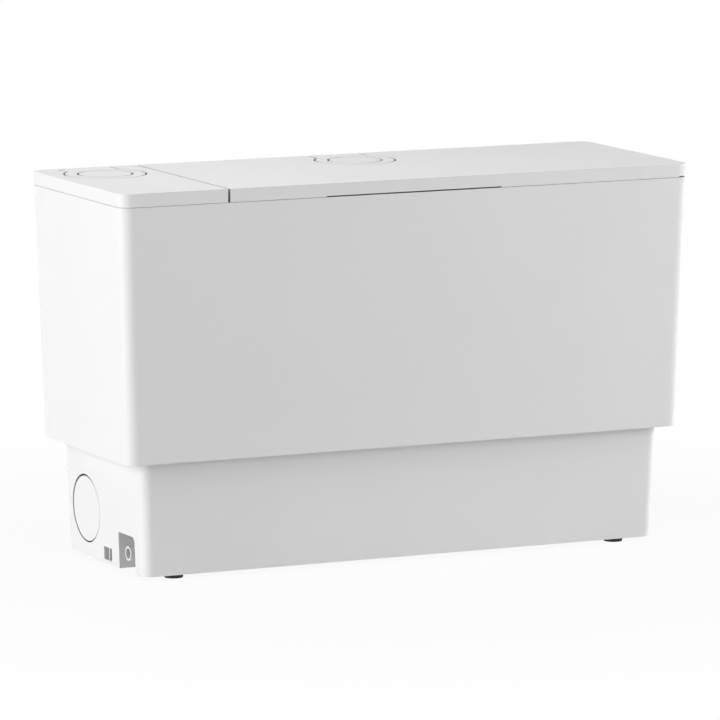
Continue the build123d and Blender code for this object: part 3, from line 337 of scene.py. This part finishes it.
castAluminium = workedMetal("castAluminium", {
    "low": (0.42, 0.43, 0.44), "high": (0.58, 0.59, 0.6), "stretch": (1.0, 1.0, 1.0),
    "scale": 900.0, "roughness": (0.42, 0.62), "bump": 0.4, "depth": 0.0003})
turnedSteel = workedMetal("turnedSteel", {
    "low": (0.42, 0.43, 0.45), "high": (0.62, 0.63, 0.65), "stretch": (1.0, 1.0, 30.0),
    "scale": 120.0, "roughness": (0.22, 0.38), "bump": 0.15, "depth": 0.0001})
drawnSteel = workedMetal("drawnSteel", {
    "low": (0.46, 0.47, 0.48), "high": (0.58, 0.59, 0.6), "stretch": (40.0, 40.0, 1.0),
    "scale": 25.0, "roughness": (0.28, 0.42), "bump": 0.12, "depth": 0.0001})
layeredSteel = workedMetal("layeredSteel", {
    "low": (0.16, 0.16, 0.165), "high": (0.34, 0.34, 0.35), "stretch": (0.2, 0.2, 40.0),
    "scale": 50.0, "roughness": (0.4, 0.6), "bump": 0.6, "depth": 0.0003})
copperWire = workedMetal("copperWire", {
    "low": (0.45, 0.16, 0.06), "high": (0.75, 0.33, 0.15), "stretch": (0.3, 0.3, 30.0),
    "scale": 60.0, "roughness": (0.25, 0.4), "bump": 0.6, "depth": 0.0004})
print("materials mixed")

nodesOfFinish = [
    (whitePlastic, [
        "tank", "main_lid", "small_lid", "keyhole_insert_main", "keyhole_insert_small",
        "knockout_disc_main", "knockout_disc_small", "side_inlet_cap_left",
        "side_inlet_cap_right"]),
    (greyPlastic, [
        "service_cover", "check_valve_body", "valve_bonnet", "discharge_riser", "pump_casing",
        "suction_plate", "impeller", "pressure_dome"]),
    (lightGreyPlastic, ["vent_filter_housing", "filter_cap", "control_box", "control_box_lid"]),
    (blackPlastic, ["pressure_switch"]),
    (softRubber, [
        "rubber_feet", "cover_gasket", "dn40_sleeves", "wc_inlet_sleeve", "side_inlet_flap_left",
        "side_inlet_flap_right", "check_valve_flap", "discharge_hose", "cable_grommet"]),
    (cordRubber, ["pressure_hose", "motor_lead"]),
    (castAluminium, ["motor_cap", "bearing_shield", "seal_housing"]),
    (turnedSteel, [
        "cover_screws", "pump_screws", "motor_shaft", "motor_bearings", "cutter_ring",
        "cutter_blade", "cutter_nut", "hose_clamps", "flap_pins", "check_valve_pin"]),
    (drawnSteel, ["motor_housing"]),
    (layeredSteel, ["stator_core", "rotor_core"]),
    (copperWire, ["stator_windings"]),
    (sealCeramic, ["shaft_seal"]),
    (carbonGranules, ["carbon_filter"]),
    (boardGreen, ["circuit_board"]),
    (capacitorShell, ["run_capacitor"]),
]

for finish, members in nodesOfFinish:
    for node in members:
        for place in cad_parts[node].material_slots:
            place.material = finish
print("materials given to", sum(len(members) for finish, members in nodesOfFinish), "nodes")


# Helpers for the small rubber, metal and plastic parts that the frame leaves to the scene
poleRadius = 1e-6            # a profile point nearer the axis than this closes the shape there
roundSegments = 40


def turnedShape(profile, segments, closed):
    # A solid of revolution about Z from (radius, height) points.
    shape = bmesh.new()
    rings = []
    for radius, height in profile:
        count = 1 if radius < poleRadius else segments
        turns = [2 * math.pi * step / segments for step in range(count)]
        rings.append([
            shape.verts.new((radius * math.cos(a), radius * math.sin(a), height)) for a in turns])
    for lower, upper in zip(rings, rings[1:] + (rings[:1] if closed else [])):
        for step in range(segments):
            after = (step + 1) % segments
            if len(lower) == 1:
                shape.faces.new((lower[0], upper[step], upper[after]))
            elif len(upper) == 1:
                shape.faces.new((lower[step], upper[0], lower[after]))
            else:
                shape.faces.new((lower[step], upper[step], upper[after], lower[after]))
    bmesh.ops.recalc_face_normals(shape, faces=shape.faces)
    return shape


def meshOf(name, shape):
    mesh = bpy.data.meshes.new(name)
    shape.to_mesh(mesh)
    shape.free()
    return mesh


def addPiece(name, shape, finish, sharpAngle=32.0):
    # Edges that bend by more than sharpAngle, in degrees, stay sharp.
    mesh = meshOf(name, shape)
    mesh.materials.append(finish)
    mesh.shade_smooth()
    mesh.set_sharp_from_angle(angle=math.radians(sharpAngle))
    piece = bpy.data.objects.new(name, mesh)
    bpy.context.collection.objects.link(piece)
    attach(piece, "casing")


def cutRecess(head, outline, top, depth, taper):
    # Cuts a tapered pocket with the given outline into the top of a screw head.
    cutter = bmesh.new()
    high = [cutter.verts.new((x, y, top + depth)) for x, y in outline]
    low = [cutter.verts.new((x * taper, y * taper, top - depth)) for x, y in outline]
    cutter.faces.new(high)
    cutter.faces.new(list(reversed(low)))
    for step in range(len(outline)):
        after = (step + 1) % len(outline)
        cutter.faces.new((low[step], low[after], high[after], high[step]))
    bmesh.ops.recalc_face_normals(cutter, faces=cutter.faces)
    blank = bpy.data.objects.new("screwBlank", meshOf("screwBlank", head))
    tool = bpy.data.objects.new("recessTool", meshOf("recessTool", cutter))
    for thing in (blank, tool):
        bpy.context.collection.objects.link(thing)
    cut = blank.modifiers.new("recess", "BOOLEAN")
    cut.operation = "DIFFERENCE"
    cut.solver = "EXACT"
    cut.object = tool
    evaluated = blank.evaluated_get(bpy.context.evaluated_depsgraph_get())
    finished = bpy.data.meshes.new_from_object(evaluated)
    for thing in (blank, tool):
        bpy.data.objects.remove(thing)
    return finished


def copiesOf(mesh, places):
    shape = bmesh.new()
    for place in places:
        start = len(shape.verts)
        shape.from_mesh(mesh)
        shape.verts.ensure_lookup_table()
        bmesh.ops.translate(shape, vec=Vector(place), verts=shape.verts[start:])
    return shape


def joinShapes(shapes):
    whole = bmesh.new()
    for shape in shapes:
        mesh = meshOf("shapeToJoin", shape)
        whole.from_mesh(mesh)
        bpy.data.meshes.remove(mesh)
    return whole


def turnShape(shape, degrees, axis):
    bmesh.ops.rotate(shape, cent=(0, 0, 0), verts=shape.verts,
                     matrix=Matrix.Rotation(math.radians(degrees), 3, axis))


# Cross-recess screws in the lid of the control box
boxScrewSetup = {
    "columns": (0.0815, 0.2185), "rows": (-0.0615, -0.0025), "seat": 0.29072,
    "radius": 0.0031, "height": 0.0019,
    # the head's outline, in shares of its radius and height
    "outline": [(0, 0), (1, 0), (1, 0.3), (0.93, 0.62), (0.76, 0.86), (0.45, 0.98), (0, 1)],
    "crossReach": 0.0018, "crossHalf": 0.00042, "depth": 0.0011, "taper": 0.55,
}


def boxScrews(setup):
    radius, height = setup["radius"], setup["height"]
    profile = [(radius * outward, height * upward) for outward, upward in setup["outline"]]
    head = turnedShape(profile, roundSegments, False)
    reach, half = setup["crossReach"], setup["crossHalf"]
    cross = [(half, half), (half, reach), (-half, reach), (-half, half),
             (-reach, half), (-reach, -half), (-half, -half), (-half, -reach),
             (half, -reach), (half, -half), (reach, -half), (reach, half)]
    screw = cutRecess(head, cross, height, setup["depth"], setup["taper"])
    places = [(x, y, setup["seat"]) for x in setup["columns"] for y in setup["rows"]]
    addPiece("boxScrews", copiesOf(screw, places), turnedSteel)


# Hexagon-socket screws in the flange of the motor cap
capScrewSetup = {
    "axis": (-0.085, -0.0015), "offsets": (-0.046, 0.046), "seat": 0.25972,
    "radius": 0.0042, "height": 0.0048, "bevel": 0.0004,
    "hexRadius": 0.0026, "depth": 0.0026, "taper": 1.0,
}


def capScrews(setup):
    radius, height, bevel = setup["radius"], setup["height"], setup["bevel"]
    profile = [(0, 0), (radius, 0), (radius, height - bevel), (radius - bevel, height), (0, height)]
    head = turnedShape(profile, roundSegments, False)
    corners = [math.radians(60 * step) for step in range(6)]
    hexagon = [(setup["hexRadius"] * math.cos(corner), setup["hexRadius"] * math.sin(corner))
               for corner in corners]
    screw = cutRecess(head, hexagon, height, setup["depth"], setup["taper"])
    axisX, axisY = setup["axis"]
    places = [(axisX + x, axisY + y, setup["seat"])
              for x in setup["offsets"] for y in setup["offsets"]]
    addPiece("motorCapScrews", copiesOf(screw, places), turnedSteel)


# Thin lips that lean into a sleeve's bore, as a push-fit seal has
lipSetups = [
    {"name": "panInletLips", "centre": (0.150, 0.08888, 0.1721), "tilt": -90,
     "roots": [0.0530, 0.0500, 0.0500], "depths": [0.0032, 0.0125, 0.0180], "reach": 0.0021},
    {"name": "basinInletLips", "centre": (0.0167, 0.048, 0.2697), "tilt": 0,
     "roots": [0.0200, 0.0200], "depths": [0.0035, 0.0080], "reach": 0.0015},
]
lipSection = {
    "bite": 0.00005,         # how far the root reaches into the sleeve
    # inward and down from the root, in shares of the lip's reach
    "edge": [(0.55, 0.75), (1.0, 1.25), (0.92, 1.45), (0.4, 1.2)], "rootDrop": 0.9,
    "segments": 112, "sharpAngle": 50.0,
}


def lipRing(root, depth, reach, section):
    biting = root + section["bite"]
    edge = [(root - reach * inward, -depth - reach * down) for inward, down in section["edge"]]
    profile = [(biting, -depth), *edge, (biting, -depth - reach * section["rootDrop"])]
    return turnedShape(profile, section["segments"], True)


def sealLips(setup, section):
    whole = joinShapes([lipRing(root, depth, setup["reach"], section)
                        for root, depth in zip(setup["roots"], setup["depths"])])
    turnShape(whole, setup["tilt"], "X")
    bmesh.ops.translate(whole, vec=Vector(setup["centre"]), verts=whole.verts)
    addPiece(setup["name"], whole, softRubber, section["sharpAngle"])


# Ties that hold the motor lead on the service cover
tieSetup = {
    "places": [-0.038, 0.044], "lineY": -0.020, "lineZ": 0.2667, "leadRadius": 0.00405,
    "band": 0.0011, "width": 0.0036, "edgeShare": 0.3,
    "lock": (0.0046, 0.0052, 0.0040), "lockRise": 0.36,     # the rise in shares of its height
    "lockBevel": {"offset": 0.0006, "segments": 3, "profile": 0.6},
}


def tieBand(setup):
    inner, outer = setup["leadRadius"], setup["leadRadius"] + setup["band"]
    half = setup["width"] / 2
    edge = setup["band"] * setup["edgeShare"]
    band = turnedShape([
        (inner, -half), (outer - edge, -half), (outer, -half + edge), (outer, half - edge),
        (outer - edge, half), (inner, half)], roundSegments, True)
    turnShape(band, 90, "Y")
    return band


def tieLock(setup):
    lock = bmesh.new()
    bmesh.ops.create_cube(lock, size=1.0)
    bmesh.ops.scale(lock, vec=Vector(setup["lock"]), verts=lock.verts)
    bmesh.ops.bevel(lock, geom=lock.edges[:], affect="EDGES", **setup["lockBevel"])
    outer = setup["leadRadius"] + setup["band"]
    rise = Vector((0, 0, outer + setup["lock"][2] * setup["lockRise"]))
    bmesh.ops.translate(lock, vec=rise, verts=lock.verts)
    return lock


def cableTies(setup):
    tie = meshOf("cableTie", joinShapes([tieBand(setup), tieLock(setup)]))
    places = [(x, setup["lineY"], setup["lineZ"]) for x in setup["places"]]
    addPiece("cableTies", copiesOf(tie, places), blackPlastic)


boxScrews(boxScrewSetup)
capScrews(capScrewSetup)
for setup in lipSetups:
    sealLips(setup, lipSection)
cableTies(tieSetup)
print("small parts added")


# Floor, background and studio light

def seenDirectly(tree):
    # 1 for what the camera and reflections see, 0 for the light that falls on the object
    rays = addNode(tree, "ShaderNodeLightPath")
    return addNode(tree, "ShaderNodeMath", {
        0: rays.outputs["Is Camera Ray"], 1: rays.outputs["Is Glossy Ray"]}, operation="MAXIMUM")


floorSetup = {"half": 30.0, "paint": 0.75, "nearGlow": 0.93, "fadeStart": 0.34, "fadeEnd": 0.7}


def makeFloor(setup):
    half = setup["half"]
    mesh = bpy.data.meshes.new("studioFloor")
    corners = [(-half, -half, 0), (half, -half, 0), (half, half, 0), (-half, half, 0)]
    mesh.from_pydata(corners, [], [(0, 1, 2, 3)])
    floor = bpy.data.objects.new("studioFloor", mesh)
    bpy.context.collection.objects.link(floor)
    material, tree = emptyMaterial("floorPaper")
    paper = addNode(tree, "ShaderNodeBsdfDiffuse", {"Color": (setup["paint"],) * 3 + (1.0,)})
    glow = addNode(tree, "ShaderNodeEmission", {"Strength": 1.0})
    # White towards the camera and in reflections; close to the object some real shadow is kept.
    seen = seenDirectly(tree)
    place = addNode(tree, "ShaderNodeTexCoord")
    away = addNode(tree, "ShaderNodeVectorMath", {0: place.outputs["Object"]}, operation="LENGTH")
    glowShare = addNode(tree, "ShaderNodeMapRange", {
        "Value": away.outputs["Value"], "From Min": setup["fadeStart"],
        "From Max": setup["fadeEnd"], "To Min": setup["nearGlow"], "To Max": 1.0})
    share = addNode(tree, "ShaderNodeMath", {
        0: seen.outputs["Value"], 1: glowShare.outputs["Result"]}, operation="MULTIPLY")
    blend = addNode(tree, "ShaderNodeMixShader", {0: share.outputs["Value"]})
    tree.links.new(paper.outputs["BSDF"], blend.inputs[1])
    tree.links.new(glow.outputs["Emission"], blend.inputs[2])
    leave = addNode(tree, "ShaderNodeOutputMaterial")
    tree.links.new(blend.outputs["Shader"], leave.inputs["Surface"])
    mesh.materials.append(material)


worldSetup = {"strength": 0.1, "colour": (1.0, 1.0, 1.0)}


def makeWorld(setup):
    # White as a background and in reflections, but only a weak fill light on the object.
    world = bpy.data.worlds.new("studio")
    bpy.context.scene.world = world
    world.use_nodes = True
    tree = world.node_tree
    tree.nodes.clear()
    seen = seenDirectly(tree)
    strength = addNode(tree, "ShaderNodeMapRange", {
        "Value": seen.outputs["Value"], "To Min": setup["strength"], "To Max": 1.0})
    sky = addNode(tree, "ShaderNodeBackground", {"Strength": strength.outputs["Result"]})
    sky.inputs["Color"].default_value = (*setup["colour"], 1.0)
    leave = addNode(tree, "ShaderNodeOutputWorld")
    tree.links.new(sky.outputs["Background"], leave.inputs["Surface"])


# Square soft boxes; inGloss is off where a low view would mirror the lamp on a lid
lampSetups = [
    {"name": "topPanel", "place": (-0.37, -0.75, 1.95), "aim": (0.0, 0.0, 0.3),
     "size": 0.8, "power": 8.6, "inGloss": True},
    {"name": "lidPanel", "place": (-0.75, -0.1, 1.5), "aim": (-0.1, 0.0, 0.3),
     "size": 0.6, "power": 1.4, "inGloss": True},
    {"name": "nearLidPanel", "place": (-0.15, 0.01, 0.61), "aim": (-0.15, 0.01, 0.3),
     "size": 0.18, "power": 0.14, "inGloss": False},
    {"name": "leftPanel", "place": (-3.25, -0.53, 1.0), "aim": (0.0, 0.0, 0.15),
     "size": 1.9, "power": 70.0, "inGloss": False},
    {"name": "rimPanel", "place": (-2.85, 0.2, 0.15), "aim": (-0.25, 0.0, 0.15),
     "size": 0.26, "power": 8.0, "inGloss": True},
    {"name": "rightPanel", "place": (3.05, -0.45, 0.6), "aim": (0.2, 0.0, 0.2),
     "size": 1.2, "power": 55.0, "inGloss": False},
    {"name": "frontPanel", "place": (0.3, -4.0, 1.6), "aim": (0.0, 0.0, 0.2),
     "size": 1.6, "power": 10.3, "inGloss": True},
    {"name": "cornerPanel", "place": (0.75, -0.75, 0.55), "aim": (0.2, -0.05, 0.25),
     "size": 0.35, "power": 1.95, "inGloss": False},
    {"name": "backPanel", "place": (0.3, 3.2, 1.2), "aim": (0.0, 0.0, 0.2),
     "size": 1.2, "power": 35.0, "inGloss": False},
]


def makeLamp(setup):
    data = bpy.data.lights.new(setup["name"], "AREA")
    data.shape = "SQUARE"
    data.size = setup["size"]
    data.energy = setup["power"]
    lamp = bpy.data.objects.new(setup["name"], data)
    lamp.visible_glossy = setup["inGloss"]
    lamp.location = setup["place"]
    direction = Vector(setup["aim"]) - lamp.location
    lamp.rotation_euler = direction.to_track_quat("-Z", "Y").to_euler()
    bpy.context.collection.objects.link(lamp)


makeFloor(floorSetup)
makeWorld(worldSetup)
for setup in lampSetups:
    makeLamp(setup)
print("floor and lamps ready")
